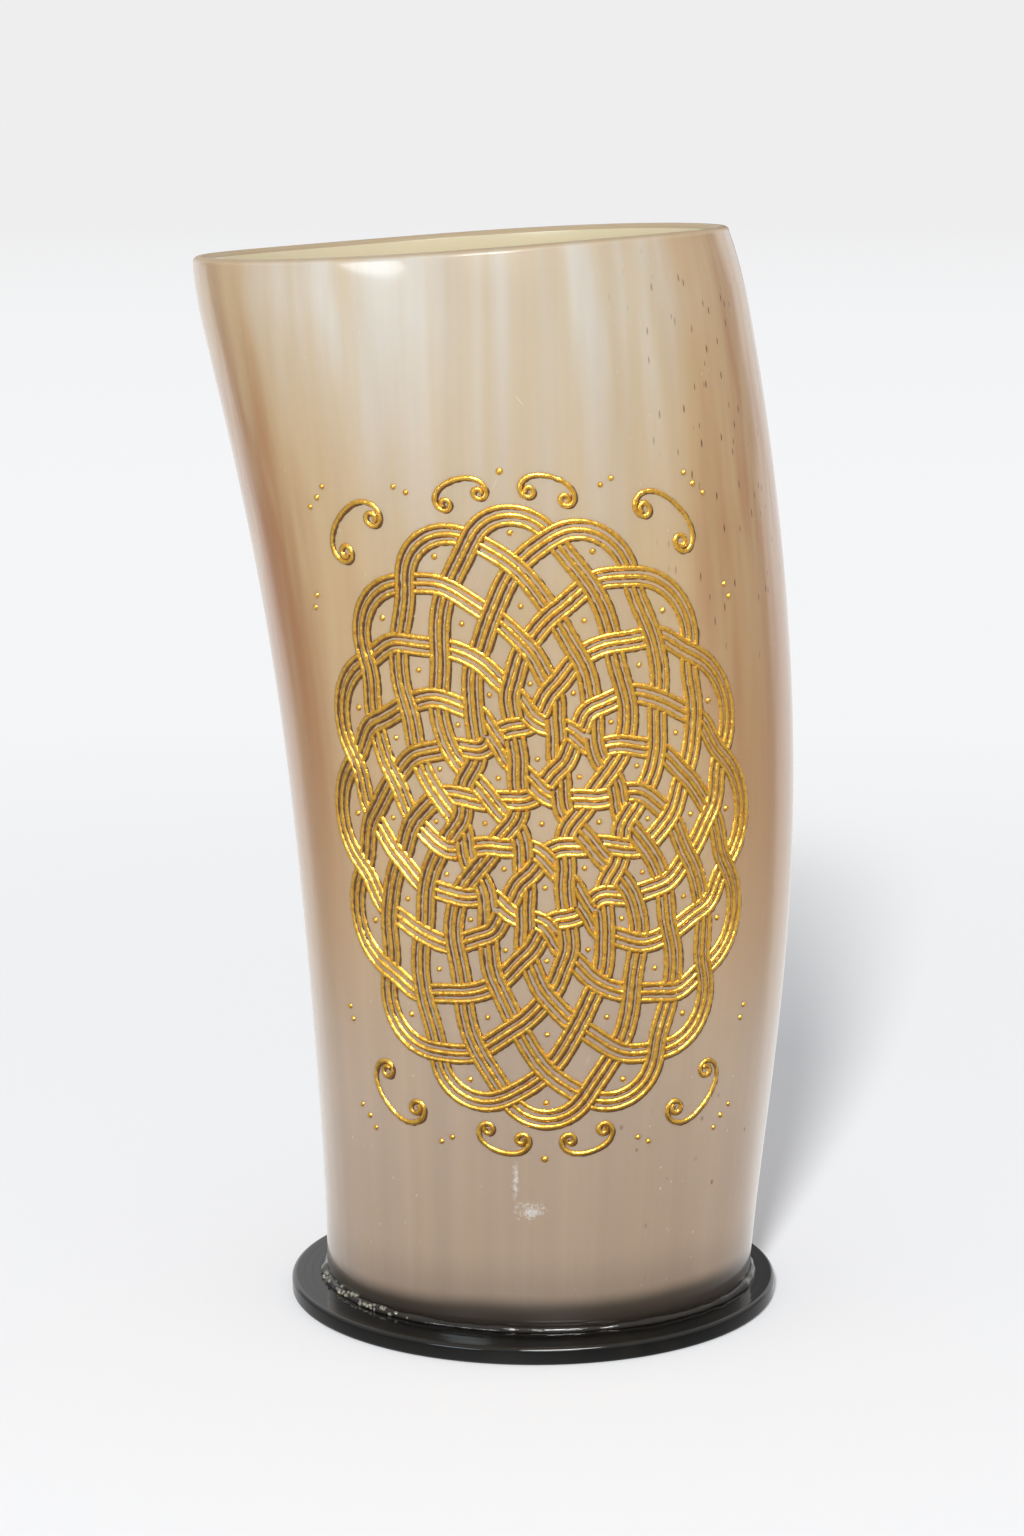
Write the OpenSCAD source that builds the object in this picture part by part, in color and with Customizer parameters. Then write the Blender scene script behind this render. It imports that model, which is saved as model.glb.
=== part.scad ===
// Horn drinking cup: one bent, oval tube of horn on a round black foot
// Millimetres, +Z up, the origin at the middle of the foot's underside
// The front is towards -Y, and the mouth leans towards -X

/* [Foot] */
// Ledge of the foot disc beyond the horn's foot, at the sides
foot_ledge = 4.5; // [3.5:0.1:15]
// Thickness of the foot disc
disc_h = 2.6; // [1.6:0.1:8]
// Radius that rounds the edges of the foot disc
disc_round = 0.6; // [0.2:0.05:0.75]
// Height of the plug that closes the horn from below
plug_h = 5; // [3:0.5:12]

/* [Horn] */
// Height of the horn's middle line, from the foot disc to the rim
horn_h = 154.4; // [100:1:240]
// Width of the horn where it stands on the foot
foot_w = 64; // [50:0.5:80]
// Depth of the horn there, front to back
foot_deep = 59.2; // [46:0.5:74]
// Width of the horn at the mouth
mouth_w = 78.6; // [60:0.5:110]
// Depth of the horn at the mouth
mouth_deep = 72.8; // [56:0.5:104]
// Sideways reach of the bend, from the middle of the foot to the middle of the mouth
mouth_lean = 11.6; // [0:0.2:25]
// Slope of the rim in degrees, down towards the side that the horn leans to
rim_slope = 3.5; // [0:0.5:8]
// Thickness of the wall at the foot
foot_wall = 3.5; // [2.4:0.1:6]
// Thickness of the wall at the lip
lip_wall = 1.8; // [1.2:0.1:3]
// How far the outside is eased in towards the lip, where it is rubbed down
lip_ease = 0.6; // [0:0.1:1.5]
// Height of the eased part below the rim
lip_ease_h = 9; // [4:0.5:20]
// Rise and fall of the hand-cut lip
lip_wave = 0.15; // [0:0.05:0.6]

/* [Glue] */
// Size of the bead of glue outside, between the horn and the foot disc
outer_bead = 1; // [0.5:0.1:1.5]
// Size of the bead that seals the plug to the inside of the horn
seal_bead = 1.5; // [0.8:0.1:3]

/* [Hidden] */

// Shape of the bend and the growth, from foot to rim at each fifth of the height,
// as shares of the whole lean and of the whole change in width
lean_shares = [0, -0.08, -0.08, 0.09, 0.46, 1];
growth_shares = [0, 0.30, 0.62, 0.82, 0.96, 1];

// The horn stands a little off the middle of the disc, as it was glued by hand
seat_x = 0.8;
seat_y = 0.5;
// Film of glue between the horn and what is fitted to it
glue_film = 0.1;
// Number of waves round the lip, and the angle where the first one is highest
lip_waves = 3;
lip_wave_turn = 197;
// The wave fades out below the lip as this power of the height
lip_wave_fade = 8;

// Faces round the horn, rings up it, and steps round its lip and its beads
sides = 64;
rings = 22;
ease_rings = 4;
lip_steps = 5;
bead_steps = 4;
disc_sides = 128;

disc_r = foot_w / 2 + foot_ledge;
lip_r = lip_wall / 2;
lip_share = 1 - lip_r / horn_h;
plug_share = plug_h / horn_h;
ease_share = lip_share * (1 - lip_ease_h / horn_h);

// Heights of the rings up the plain outside, and of those up its eased part
wall_ups = [for (r = [0 : rings]) ease_share * r / rings];
eased_ups = [for (r = [1 : ease_rings]) ease_share + (lip_share - ease_share) * r / ease_rings];

function sum_of(list, i = 0) = i < len(list) ? list[i] + sum_of(list, i + 1) : 0;
function product_of(list, i = 0) = i < len(list) ? list[i] * product_of(list, i + 1) : 1;

// Smooth curve through evenly spaced shares, read at up, from 0 at the foot to 1 at the rim
function smooth_share(shares, up) =
    let (last = len(shares) - 1)
    sum_of([for (i = [0 : last])
        shares[i] * product_of([for (j = [0 : last]) if (j != i) (last * up - j) / (i - j)])]);

// How far the outside and the inside of the wall lie in from the horn's full outline
function outside_at(up) = lip_ease * pow(max(0, 1 - (1 - up / lip_share) * horn_h / lip_ease_h), 2);
function inside_at(up) = foot_wall + (lip_ease + lip_wall - foot_wall) * min(1, up / lip_share);

// One oval ring round the horn, drawn in from its outside by inset and raised by lift
function horn_ring(up, inset, lift = 0) =
    let (
        growth = smooth_share(growth_shares, up),
        half_w = (foot_w + (mouth_w - foot_w) * growth) / 2,
        half_deep = (foot_deep + (mouth_deep - foot_deep) * growth) / 2,
        slope = rim_slope * up * up,
        middle = [seat_x - mouth_lean * smooth_share(lean_shares, up), seat_y, disc_h + horn_h * up]
    )
    [for (i = [0 : sides - 1])
        let (
            a = 360 * i / sides,
            out = [cos(a) / half_w, sin(a) / half_deep],
            p = [half_w * cos(a), half_deep * sin(a)] - inset * out / norm(out),
            wave = lip_wave * cos(lip_waves * a - lip_wave_turn) * pow(up, lip_wave_fade)
        )
        middle + [p.x * cos(slope), p.y, p.x * sin(slope) + lift + wave]];

// Triangles between neighbouring rings, each ring joined to the next
function skin_faces(count, closed) =
    [for (r = [0 : count - (closed ? 1 : 2)], i = [0 : sides - 1])
        let (
            here = r * sides,
            above = ((r + 1) % count) * sides,
            j = (i + 1) % sides
        )
        each [[here + i, above + i, above + j], [here + i, above + j, here + j]]];

function all_points(ring_list) = [for (ring = ring_list) each ring];

// Solid whose section is a closed loop carried round the horn
module ring_solid(ring_list) {
    polyhedron(all_points(ring_list), skin_faces(len(ring_list), true));
}

// Solid between a lowest and a highest ring, each closed by a flat face
module plug_solid(ring_list) {
    count = len(ring_list);
    bottom = [for (i = [0 : sides - 1]) i];
    top = [for (i = [sides - 1 : -1 : 0]) (count - 1) * sides + i];
    polyhedron(all_points(ring_list), concat(skin_faces(count, false), [bottom, top]));
}

// Horn: up the outside, over the rounded lip and down the inside, open at both ends
module horn_wall() {
    outside = [for (up = concat(wall_ups, eased_ups)) horn_ring(up, outside_at(up))];
    lip = [for (s = [1 : lip_steps - 1])
        let (turn = 180 * s / lip_steps)
        horn_ring(lip_share, lip_ease + lip_r * (1 - cos(turn)), lip_r * sin(turn))];
    inside = [for (r = [rings : -1 : 0])
        let (up = lip_share * r / rings)
        horn_ring(up, inside_at(up))];
    color("#cfc4b0") ring_solid(concat(outside, lip, inside));
}

// Foot: a turned disc with rounded edges and a flat underside
module foot_disc() {
    color("#26231f")
        rotate_extrude($fn = disc_sides) {
            square([disc_r - disc_round, disc_h]);
            translate([0, disc_round]) square([disc_r, disc_h - 2 * disc_round]);
            for (z = [disc_round, disc_h - disc_round])
                translate([disc_r - disc_round, z]) circle(disc_round, $fn = sides);
        }
}

// Plug: cut to the oval inside the horn and glued down on the disc
module foot_plug() {
    color("#1f1c19")
        plug_solid([for (up = [0, plug_share]) horn_ring(up, inside_at(up) + glue_film)]);
}

// Rounded bead of glue outside, on the disc and against the horn
module outer_glue_bead() {
    corner = [horn_ring(0, -glue_film)];
    round = [for (s = [0 : bead_steps])
        let (turn = 90 * s / bead_steps)
        horn_ring(outer_bead * sin(turn) / horn_h, -glue_film - outer_bead * cos(turn))];
    color("#3a342c") ring_solid(concat(corner, round));
}

// Rounded bead inside, on the plug and against the horn, that keeps the drink in
module inner_seal_bead() {
    corner = [horn_ring(plug_share, inside_at(plug_share) + glue_film)];
    round = [for (s = [bead_steps : -1 : 0])
        let (
            turn = 90 * s / bead_steps,
            up = plug_share + seal_bead * sin(turn) / horn_h
        )
        horn_ring(up, inside_at(up) + glue_film + seal_bead * cos(turn))];
    color("#b8a98c") ring_solid(concat(corner, round));
}

horn_wall();
foot_disc();
foot_plug();
outer_glue_bead();
inner_seal_bead();
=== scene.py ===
"""Horn drinking cup: a beaker of polished horn with gilt knotwork, on a glossy black foot."""

import cmath
import math
import random

import bmesh
import bpy
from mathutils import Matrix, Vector, noise


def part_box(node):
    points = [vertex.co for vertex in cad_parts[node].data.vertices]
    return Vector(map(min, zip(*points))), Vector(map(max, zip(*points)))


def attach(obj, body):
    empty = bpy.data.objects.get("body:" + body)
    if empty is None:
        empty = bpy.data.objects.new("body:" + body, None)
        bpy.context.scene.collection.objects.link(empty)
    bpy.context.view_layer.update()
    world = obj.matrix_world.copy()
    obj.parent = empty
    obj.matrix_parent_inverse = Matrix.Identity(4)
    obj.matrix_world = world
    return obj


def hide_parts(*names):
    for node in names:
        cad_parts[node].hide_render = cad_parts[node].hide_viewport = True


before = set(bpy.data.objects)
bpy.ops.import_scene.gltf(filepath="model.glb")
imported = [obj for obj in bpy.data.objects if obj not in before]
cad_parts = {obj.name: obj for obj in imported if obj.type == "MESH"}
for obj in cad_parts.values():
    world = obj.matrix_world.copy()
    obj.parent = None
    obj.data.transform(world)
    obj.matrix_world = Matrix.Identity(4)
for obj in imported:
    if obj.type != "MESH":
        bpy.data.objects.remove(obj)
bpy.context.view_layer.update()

bl_info = {
    "name": "Horn Drinking Cup",
    "version": (1, 0, 0),
    "blender": (4, 5, 0),
    "location": "View3D > Sidebar > Horn Cup",
    "description": "A beaker of polished horn with gilt knotwork, on a glossy black foot",
    "category": "Add Mesh",
}

MM = 0.001
DISC_LOW, DISC_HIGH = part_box("foot_disc")
DISC_R = (DISC_HIGH.x - DISC_LOW.x) / 2
DISC_H = DISC_HIGH.z - DISC_LOW.z

# Shape of the bend and the growth, at each fifth of the height, as in the CAD source
LEAN_SHARES = (0, -0.08, -0.08, 0.09, 0.46, 1)
GROWTH_SHARES = (0, 0.30, 0.62, 0.82, 0.96, 1)
LIP_WAVES = 3
LIP_WAVE_TURN = math.radians(197)
LIP_WAVE_FADE = 8

# Radius that the horn's pattern is wrapped on, so that its streaks meet all the way round
GRAIN_R = 38 * MM
FRONT = -math.pi / 2


def linear(code):
    """Linear colour, with alpha, of an sRGB hex code."""
    parts = [int(code[i:i + 2], 16) / 255 for i in (0, 2, 4)]
    parts = [p / 12.92 if p <= 0.04045 else ((p + 0.055) / 1.055) ** 2.4 for p in parts]
    return (*parts, 1.0)


def length(name, description, size):
    """A length property, given in millimetres and kept in metres."""
    return bpy.props.FloatProperty(
        name=name, description=description, default=size * MM, min=0, unit="LENGTH",
        precision=5)


def angle(name, description, degrees):
    """An angle property, given in degrees and kept in radians."""
    return bpy.props.FloatProperty(
        name=name, description=description, default=math.radians(degrees), unit="ROTATION")


def power(name, description, watts):
    """A property for the power of a lamp."""
    return bpy.props.FloatProperty(
        name=name, description=description, default=watts, min=0, unit="POWER")


def colour(name, description, code):
    """A colour property."""
    return bpy.props.FloatVectorProperty(
        name=name, description=description, default=linear(code), size=4, min=0, max=1,
        subtype="COLOR")


class HORNCUP_PG_horn(bpy.types.PropertyGroup):
    """Sizes and colours of the horn and its foot."""

    height: length("Height", "Height of the horn's middle line above the foot disc", 154.4)
    foot_w: length("Foot width", "Width of the horn where it stands on the foot", 64)
    foot_deep: length("Foot depth", "Depth of the horn there, front to back", 59.2)
    mouth_w: length("Mouth width", "Width of the horn at the mouth", 78.6)
    mouth_deep: length("Mouth depth", "Depth of the horn at the mouth", 72.8)
    lean: length("Lean", "Sideways reach of the bend", 11.6)
    rim_slope: angle("Rim slope", "Slope of the rim, down towards the leaning side", 3.5)
    foot_wall: length("Foot wall", "Thickness of the wall at the foot", 3.5)
    lip_wall: length("Lip wall", "Thickness of the wall at the lip", 1.8)
    lip_ease: length("Lip ease", "How far the outside is eased in at the lip", 0.6)
    lip_ease_h: length("Eased height", "Height of the eased part below the rim", 9)
    lip_wave: length("Lip wave", "Rise and fall of the hand-cut lip", 0.15)
    seat_x: length("Seat across", "How far the horn stands off the disc's middle, across", 0.8)
    seat_y: length("Seat back", "How far the horn stands off the disc's middle, to the back", 0.5)
    plug_h: length("Plug height", "Height of the plug that closes the horn", 5)
    dent: length("Hand finish", "Depth of the hollows left by hand polishing", 0.07)
    disc_round: length("Disc rounding", "Radius on the edges of the foot disc", 0.6)
    outer_bead: length("Outer bead", "Size of the glue bead outside the horn", 1)
    inner_bead: length("Seal bead", "Size of the glue bead inside the horn", 1.5)
    cream: colour("Cream", "Horn where it is palest, below the rim", "DAD2C4")
    honey: colour("Honey", "Yellow streaks in the upper horn", "CDB284")
    tan: colour("Tan", "Horn between the cream and the sides", "CBA97A")
    amber: colour("Amber", "Warm brown horn at the sides", "A96C33")
    # Painted sheen: the foot's sides are made paler in place of the white paper's reflection
    painted_side_sheen: colour("Pale", "Horn at the sides of the foot", "C8B09A")
    fawn: colour("Fawn", "Horn in the middle of the cup", "C9AE8C")
    mauve: colour("Mauve", "Greyer horn near the foot", "B39C86")
    black: colour("Black", "Foot, plug, and the horn that they show through", "080807")


class HORNCUP_PG_gilding(bpy.types.PropertyGroup):
    """Sizes and colours of the gilt knotwork."""

    middle: length("Middle", "Height of the middle of the ornament", 78)
    line: length("Line radius", "Radius of a raised gilt line", 0.40)
    proud: length("Line height", "How far a gilt line stands above the horn", 0.26)
    ribbon: length("Ribbon", "Width of one plaited ribbon", 2.35)
    step: length("Step", "Spacing of the points along a line", 0.35)
    gold: colour("Gold", "Gilding where it is bright", "F8C44E")
    old_gold: colour("Old gold", "Gilding where it is thin", "D4922C")
    # Also the colour of the painted shadow beside each gilt line
    size: colour("Size", "Brown varnish that the gilding sticks to", "4A2C12")


class HORNCUP_PG_stage(bpy.types.PropertyGroup):
    """Paper, lights and camera."""

    paper: colour("Paper", "Pale floor", "D9DADB")
    far_paper: colour("Far paper", "Floor and backdrop far behind the cup", "EEEEEF")
    key_power: power("Key light", "Power of the softbox at the front left", 7.5)
    top_power: power("Top light", "Power of the long softbox above the camera", 9)
    paper_power: power("Paper light", "Power of the lamp that lights the paper alone", 238)
    glint_power: power(
        "Glint light", "Power of the lamp for glints on gilding, glue and foot", 34)
    world: bpy.props.FloatProperty(
        name="Room light", description="Strength of the light from all round", default=0.62,
        min=0)
    focal: bpy.props.FloatProperty(
        name="Focal length", description="Focal length of the camera, in millimetres",
        default=85, min=20)
    camera_away: length("Camera distance", "How far before the cup the camera stands", 527.6)
    camera_height: length("Camera height", "Height of the camera above the paper", 176.5)
    camera_tilt: angle("Camera tilt", "How far the camera is tilted up from straight down", 79.6)
    camera_turn: angle("Camera turn", "How far the camera is turned to the left", 0.35)


class HORNCUP_PG_cup(bpy.types.PropertyGroup):
    """All that a user may change."""

    horn: bpy.props.PointerProperty(type=HORNCUP_PG_horn)
    gilding: bpy.props.PointerProperty(type=HORNCUP_PG_gilding)
    stage: bpy.props.PointerProperty(type=HORNCUP_PG_stage)


def smooth_share(shares, up):
    """Smooth curve through evenly spaced shares, from 0 at the foot to 1 at the rim."""
    last = len(shares) - 1
    total = 0.0
    for i, share in enumerate(shares):
        for j in range(last + 1):
            if j != i:
                share *= (last * up - j) / (i - j)
        total += share
    return total


class HornShape:
    """Points on the horn, worked out as in the CAD source."""

    def __init__(self, horn):
        self.horn = horn
        self.lip_r = horn.lip_wall / 2
        self.lip_share = 1 - self.lip_r / horn.height
        self.plug_share = horn.plug_h / horn.height
        self.rings = {}

    def ring(self, up):
        """Middle, half width, half depth, slope and lip wave of the ring at a share of the
        height."""
        if up not in self.rings:
            horn = self.horn
            growth = smooth_share(GROWTH_SHARES, up)
            middle = Vector((
                horn.seat_x - horn.lean * smooth_share(LEAN_SHARES, up),
                horn.seat_y,
                DISC_H + horn.height * up))
            self.rings[up] = (
                middle,
                (horn.foot_w + (horn.mouth_w - horn.foot_w) * growth) / 2,
                (horn.foot_deep + (horn.mouth_deep - horn.foot_deep) * growth) / 2,
                horn.rim_slope * up * up,
                horn.lip_wave * up ** LIP_WAVE_FADE)
        return self.rings[up]

    def outside(self, up):
        """How far the outside lies in from the horn's full outline."""
        horn = self.horn
        eased = 1 - (1 - up / self.lip_share) * horn.height / horn.lip_ease_h
        return horn.lip_ease * max(0, eased) ** 2

    def inside(self, up):
        """How far the inside lies in from the horn's full outline."""
        horn = self.horn
        thinner = horn.lip_ease + horn.lip_wall - horn.foot_wall
        return horn.foot_wall + thinner * min(1, up / self.lip_share)

    def point(self, turn, up, inset, lift=0.0):
        """Point of a ring at an angle, drawn in by inset and raised by lift."""
        middle, half_w, half_deep, slope, wave = self.ring(up)
        out = Vector((math.cos(turn) / half_w, math.sin(turn) / half_deep)).normalized()
        x = half_w * math.cos(turn) - inset * out.x
        y = half_deep * math.sin(turn) - inset * out.y
        lift += wave * math.cos(LIP_WAVES * turn - LIP_WAVE_TURN)
        return middle + Vector((x * math.cos(slope), y, x * math.sin(slope) + lift))

    def hollow(self, turn, up):
        """Shallow hollow left by hand polishing, up to the full dent."""
        across, along = 14 * MM, 50 * MM
        place = Vector((
            math.cos(turn) * GRAIN_R / across,
            math.sin(turn) * GRAIN_R / across,
            up * self.horn.height / along))
        return self.horn.dent * (0.5 + 0.5 * noise.noise(place))


def turns(count):
    """Evenly spaced angles once round."""
    return [math.tau * i / count for i in range(count)]


def edges_round(bm, row):
    """Edges of a closed row of vertices."""
    return [bm.edges.get((row[i - 1], row[i])) for i in range(len(row))]


def skin(bm, rings):
    """Skins a closed series of rings of points: a circle on the first, extruded on to each of
    the others and bridged from the last back to the first."""
    row = bmesh.ops.create_circle(bm, segments=len(rings[0]), radius=1)["verts"]
    rows = [row]
    first = edges = edges_round(bm, row)
    for _ in rings[1:]:
        place = {vert: i for i, vert in enumerate(row)}
        made = bmesh.ops.extrude_edge_only(bm, edges=edges)["geom"]
        row = [None] * len(row)
        for vert in made:
            if isinstance(vert, bmesh.types.BMVert):
                for edge in vert.link_edges:
                    old = edge.other_vert(vert)
                    if old in place:
                        row[place[old]] = vert
        edges = edges_round(bm, row)
        rows.append(row)
    bmesh.ops.bridge_loops(bm, edges=first + edges)
    for row, points in zip(rows, rings):
        for vert, point in zip(row, points):
            vert.co = point
    bmesh.ops.recalc_face_normals(bm, faces=bm.faces)
    return rows


def add_piece(name, bm, material, replaced=()):
    """Makes a finished piece of a bmesh, on the cup's one body."""
    mesh = bpy.data.meshes.new(name)
    bm.to_mesh(mesh)
    bm.free()
    mesh.shade_smooth()
    mesh.materials.append(material)
    piece = bpy.data.objects.new(name, mesh)
    bpy.context.scene.collection.objects.link(piece)
    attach(piece, "root")
    if replaced:
        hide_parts(*replaced)


def new_material(name):
    """An empty material and its tree."""
    material = bpy.data.materials.new(name)
    material.use_nodes = True
    material.node_tree.nodes.clear()
    return material, material.node_tree


def add_node(tree, kind, inputs=(), stops=(), **settings):
    """Adds a node with its settings. Each input, found by its name or its place among those
    in use, gets a value, or a link from a socket or from a node's first output in use."""
    node = tree.nodes.new(kind)
    for name, value in settings.items():
        setattr(node, name, value)
    sockets = [socket for socket in node.inputs if socket.enabled]
    for key, value in dict(inputs).items():
        if isinstance(key, str):
            socket = next(socket for socket in sockets if socket.name == key)
        else:
            socket = sockets[key]
        if isinstance(value, bpy.types.Node):
            value = next(output for output in value.outputs if output.enabled)
        if isinstance(value, bpy.types.NodeSocket):
            tree.links.new(value, socket)
        else:
            socket.default_value = value
    for i, (place, value) in enumerate(stops):
        ramp = node.color_ramp.elements
        stop = ramp[i] if i < len(ramp) else ramp.new(place)
        stop.position = place
        stop.color = value
    return node


def grey(value):
    """A grey with alpha."""
    return (value, value, value, 1.0)


def sized(across, along):
    """Pattern scale whose marks are across by along millimetres, along the horn's growth."""
    return (1 / (across * MM), 1 / (across * MM), 1 / (along * MM))


def streaks(tree, grain, across, along, inputs):
    """Noise drawn out into streaks across by along millimetres, along the horn's growth."""
    drawn_out = add_node(tree, "ShaderNodeMapping", {
        "Vector": grain, "Scale": sized(across, along)})
    return add_node(tree, "ShaderNodeTexNoise", {"Vector": drawn_out, "Scale": 1, **inputs})


def horn_colour(tree, horn, grain, side, height):
    """Colour of the horn's layers: greyer at the foot, cream at the mouth, brown at the sides,
    and streaked along its growth."""
    share = add_node(tree, "ShaderNodeMapRange", {"Value": height, "From Max": 158 * MM})
    tone = add_node(tree, "ShaderNodeValToRGB", {0: share}, stops=(
        (0.04, horn.mauve), (0.28, horn.mauve), (0.50, horn.fawn), (0.68, horn.fawn),
        (0.94, horn.cream), (1.0, horn.cream)))

    # Both sides are browner in the upper wall, and low down they are painted paler: a painted
    # sheen in place of the white paper's reflection there. The edge of the brown wanders with the
    # streaks, and near the mouth it draws back towards the outline.
    off_middle = add_node(tree, "ShaderNodeMath", {0: side, 1: 0.3 * MM}, operation="ADD")
    off_middle = add_node(tree, "ShaderNodeMath", {0: off_middle}, operation="ABSOLUTE")
    wander = streaks(tree, grain, 9, 160, {"Detail": 3})
    off_middle = add_node(tree, "ShaderNodeMath", {
        0: wander, 1: 16 * MM, 2: off_middle}, operation="MULTIPLY_ADD")
    drawn_back = add_node(tree, "ShaderNodeMapRange", {
        "Value": height, "From Min": 118 * MM, "From Max": 150 * MM, "To Max": 7.5 * MM})
    off_middle = add_node(tree, "ShaderNodeMath", {0: off_middle, 1: drawn_back},
                          operation="SUBTRACT")
    # Each row gives in mm how far off the middle a colour starts and is full, and the heights
    # where there is none of it and where it is full, then its strength and the colour
    for start, end, none, full, most, hue in (
            (20, 34, 20, 90, 0.9, horn.tan), (30, 42, 20, 110, 0.92, horn.amber),
            (26, 42, 60, 32, 0.5, horn.painted_side_sheen)):
        at_side = add_node(tree, "ShaderNodeMapRange", {
            "Value": off_middle, "From Min": start * MM, "From Max": end * MM,
            "To Max": most}, interpolation_type="SMOOTHSTEP")
        at_height = add_node(tree, "ShaderNodeMapRange", {
            "Value": height, "From Min": none * MM, "From Max": full * MM},
            interpolation_type="SMOOTHSTEP")
        at_side = add_node(tree, "ShaderNodeMath", {0: at_side, 1: at_height},
                           operation="MULTIPLY")
        tone = add_node(tree, "ShaderNodeMix", {"Factor": at_side, "A": tone, "B": hue},
                        data_type="RGBA")

    # Honey streaks 5.5 mm wide, which fade out below the middle of the cup
    honeyed = streaks(tree, grain, 5.5, 260, {"Detail": 2, "Roughness": 0.6})
    honeyed = add_node(tree, "ShaderNodeMapRange", {
        "Value": honeyed, "From Min": 0.37, "From Max": 0.66, "To Max": 0.55},
        interpolation_type="SMOOTHSTEP")
    higher = add_node(tree, "ShaderNodeMapRange", {
        "Value": height, "From Min": 70 * MM, "From Max": 120 * MM, "To Min": 0.1},
        interpolation_type="SMOOTHSTEP")
    honeyed = add_node(tree, "ShaderNodeMath", {0: honeyed, 1: higher}, operation="MULTIPLY")
    tone = add_node(tree, "ShaderNodeMix", {"Factor": honeyed, "A": tone, "B": horn.honey},
                    data_type="RGBA")

    # Streaks of 5 mm and hairs of 0.9 mm that are a little lighter or darker
    for across, along, darker, lighter in ((5.0, 260, 0.955, 1.04), (0.9, 90, 0.985, 1.01)):
        streak = streaks(tree, grain, across, along, {"Detail": 3, "Roughness": 0.6})
        streak = add_node(tree, "ShaderNodeMapRange", {
            "Value": streak, "From Min": 0.3, "From Max": 0.7, "To Min": darker,
            "To Max": lighter})
        tone = add_node(tree, "ShaderNodeMix", {"Factor": 1.0, "A": tone, "B": streak},
                        data_type="RGBA", blend_type="MULTIPLY")
    return tone


# Small marks on the horn. Each row gives their spacing across and along in mm, their tilt in
# degrees, half their size as a share of the spacing, the share of them that is missing, where
# they start and are full from left to right in mm, the heights where they start, are full,
# have gone and start to go, their colour and its strength.
HORN_MARKS = (
    # Cracks 0.4 mm wide and 1.7 mm long that dirt has darkened, at one side of the mouth
    (1.15, 4.8, 0, 0.18, 0.0, (17, 27), (92, 108, 158, 150), "6B3A16", 0.95),
    # Brown spots 0.8 mm wide, near the foot
    (2.6, 3.2, 0, 0.16, 0.72, (0, 8), (9, 12, 40, 30), "6A4A3C", 0.7),
    # Scratches 0.2 mm wide and 3 mm long, left by use
    (1.1, 16, 38, 0.10, 0.80, (-60, -50), (90, 110, 170, 160), "F1E8D8", 0.5),
    (1.1, 14, -24, 0.10, 0.84, (-60, -50), (10, 12, 170, 160), "EFE6DA", 0.4),
    # Pale specks of polish 0.4 mm wide, near the foot
    (2.2, 2.8, 0, 0.10, 0.60, (-60, -50), (8, 10, 60, 30), "E8DED0", 0.55))


def add_marks(tree, tone, grain, side, height):
    """Adds the small marks to the horn's colour."""
    for across, along, tilt, size, missing, sides_at, heights_at, code, strength in HORN_MARKS:
        tilted = add_node(tree, "ShaderNodeMapping", {
            "Vector": grain, "Rotation": (0, math.radians(tilt), 0)})
        drawn_out = add_node(tree, "ShaderNodeMapping", {
            "Vector": tilted, "Scale": sized(across, along)})
        cells = add_node(tree, "ShaderNodeTexVoronoi", {"Vector": drawn_out, "Scale": 1})
        mark = add_node(tree, "ShaderNodeMapRange", {
            "Value": cells, "From Min": size, "From Max": 0.4 * size, "To Max": strength},
            interpolation_type="SMOOTHSTEP")
        some = add_node(tree, "ShaderNodeMapRange", {
            "Value": add_node(tree, "ShaderNodeSeparateColor", {0: cells.outputs["Color"]}),
            "From Min": missing, "From Max": min(1, missing + 0.2)})
        mark = add_node(tree, "ShaderNodeMath", {0: mark, 1: some}, operation="MULTIPLY")
        low, full, none, less = heights_at
        for value, start, end in ((side, *sides_at), (height, low, full), (height, none, less)):
            there = add_node(tree, "ShaderNodeMapRange", {
                "Value": value, "From Min": start * MM, "From Max": end * MM})
            mark = add_node(tree, "ShaderNodeMath", {0: mark, 1: there}, operation="MULTIPLY")
        tone = add_node(tree, "ShaderNodeMix", {
            "Factor": mark, "A": tone, "B": linear(code)}, data_type="RGBA")
    return tone


def add_scuff(tree, tone, place):
    """Adds one white scuff low on the front: an upright scrape and a smear beside its end."""
    broken = add_node(tree, "ShaderNodeTexNoise", {
        "Vector": place, "Scale": 1 / (0.8 * MM), "Detail": 4, "Roughness": 0.75})
    # Each row gives in mm the middle of a mark, across and up, and its half width and height
    for across, upward, half_w, half_h in ((-4.6, 25.4, 0.9, 4.8), (-2.2, 21.0, 4.2, 2.0)):
        scuff = add_node(tree, "ShaderNodeVectorMath", {
            0: place, 1: (across * MM, -GRAIN_R, upward * MM)}, operation="SUBTRACT")
        scuff = add_node(tree, "ShaderNodeVectorMath", {
            0: scuff, 1: (1 / (half_w * MM), 1 / (12 * MM), 1 / (half_h * MM))},
            operation="MULTIPLY")
        scuff = add_node(tree, "ShaderNodeVectorMath", {0: scuff}, operation="LENGTH")
        scuff = add_node(tree, "ShaderNodeMath", {
            0: broken, 1: 2.6, 2: scuff.outputs["Value"]}, operation="MULTIPLY_ADD")
        scuff = add_node(tree, "ShaderNodeMapRange", {
            "Value": scuff, "From Min": 1.85, "From Max": 1.35, "To Max": 0.8})
        tone = add_node(tree, "ShaderNodeMix", {
            "Factor": scuff, "A": tone, "B": linear("DDD8D2")}, data_type="RGBA")
    return tone


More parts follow.
